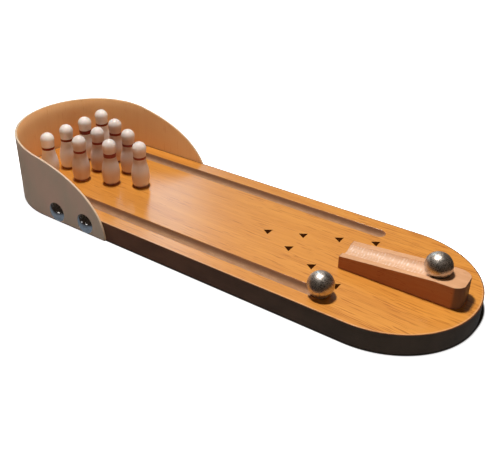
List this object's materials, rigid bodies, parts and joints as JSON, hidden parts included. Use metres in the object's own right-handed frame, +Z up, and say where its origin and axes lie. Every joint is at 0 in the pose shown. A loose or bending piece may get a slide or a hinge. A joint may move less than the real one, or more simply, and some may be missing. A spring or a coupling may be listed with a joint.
{
  "type": "table bowling game",
  "caption": "Tabletop bowling game: wooden lane with gutters and a bent wooden backstop, turned pins, a grooved aiming ramp and steel balls.",
  "frame": {"origin": "middle of the overall length and width, on the table under the board", "axes": "+X along the lane towards the player's round end, +Y to the player's right seen from behind the ramp, +Z up from the table"},
  "size_m": [0.3124, 0.1074, 0.0454],
  "materials": {
    "core_board": "matt, bare fibreboard",
    "lane_wood": "satin clear lacquer",
    "dark_edging": "matt",
    "arrow_paint": "matt paint",
    "bent_wood": "satin",
    "tack_steel": "polished",
    "ball_steel": "mirror polished",
    "ramp_wood": "bare, sanded",
    "pin_lacquer": "white gloss lacquer",
    "band_paint": "gloss paint"
  },
  "bodies": {
    "game_board": {"lane_core": "core_board", "lane_veneer": "lane_wood", "edge_band": "dark_edging", "aiming_arrows": "arrow_paint", "backstop": "bent_wood", "backstop_tacks": "tack_steel"},
    "pin_1": {"pin_1": "pin_lacquer", "pin_1_band": "band_paint"},
    "pin_2": {"pin_2": "pin_lacquer", "pin_2_band": "band_paint"},
    "pin_3": {"pin_3": "pin_lacquer", "pin_3_band": "band_paint"},
    "pin_4": {"pin_4": "pin_lacquer", "pin_4_band": "band_paint"},
    "pin_5": {"pin_5": "pin_lacquer", "pin_5_band": "band_paint"},
    "pin_6": {"pin_6": "pin_lacquer", "pin_6_band": "band_paint"},
    "pin_7": {"pin_7": "pin_lacquer", "pin_7_band": "band_paint"},
    "pin_8": {"pin_8": "pin_lacquer", "pin_8_band": "band_paint"},
    "pin_9": {"pin_9": "pin_lacquer", "pin_9_band": "band_paint"},
    "pin_10": {"pin_10": "pin_lacquer", "pin_10_band": "band_paint"},
    "aiming_ramp": {"aiming_ramp": "ramp_wood"},
    "ramp_ball": {"ramp_ball": "ball_steel"},
    "gutter_ball": {"gutter_ball": "ball_steel"}
  },
  "joints": [
    {"name": "pin_1_lift", "type": "slide", "parent": "game_board", "child": "pin_1", "axis": [0, 0, 1], "range_m": [0, 0.04]},
    {"name": "pin_2_lift", "type": "slide", "parent": "game_board", "child": "pin_2", "axis": [0, 0, 1], "range_m": [0, 0.04]},
    {"name": "pin_3_lift", "type": "slide", "parent": "game_board", "child": "pin_3", "axis": [0, 0, 1], "range_m": [0, 0.04]},
    {"name": "pin_4_lift", "type": "slide", "parent": "game_board", "child": "pin_4", "axis": [0, 0, 1], "range_m": [0, 0.04]},
    {"name": "pin_5_lift", "type": "slide", "parent": "game_board", "child": "pin_5", "axis": [0, 0, 1], "range_m": [0, 0.04]},
    {"name": "pin_6_lift", "type": "slide", "parent": "game_board", "child": "pin_6", "axis": [0, 0, 1], "range_m": [0, 0.04]},
    {"name": "pin_7_lift", "type": "slide", "parent": "game_board", "child": "pin_7", "axis": [0, 0, 1], "range_m": [0, 0.04]},
    {"name": "pin_8_lift", "type": "slide", "parent": "game_board", "child": "pin_8", "axis": [0, 0, 1], "range_m": [0, 0.04]},
    {"name": "pin_9_lift", "type": "slide", "parent": "game_board", "child": "pin_9", "axis": [0, 0, 1], "range_m": [0, 0.04]},
    {"name": "pin_10_lift", "type": "slide", "parent": "game_board", "child": "pin_10", "axis": [0, 0, 1], "range_m": [0, 0.04]},
    {"name": "ramp_swivel", "type": "hinge", "parent": "game_board", "child": "aiming_ramp", "pos_m": [0.14252, 0.00017, 0.012], "axis": [0, 0, 1], "range_deg": [-15, 15]},
    {"name": "ramp_ball_roll", "type": "slide", "parent": "aiming_ramp", "child": "ramp_ball", "axis": [-0.9974, -0.0087, -0.0719], "range_m": [0, 0.048]},
    {"name": "gutter_ball_roll", "type": "slide", "parent": "game_board", "child": "gutter_ball", "axis": [-1, 0, 0], "range_m": [0, 0.2032]}
  ]
}
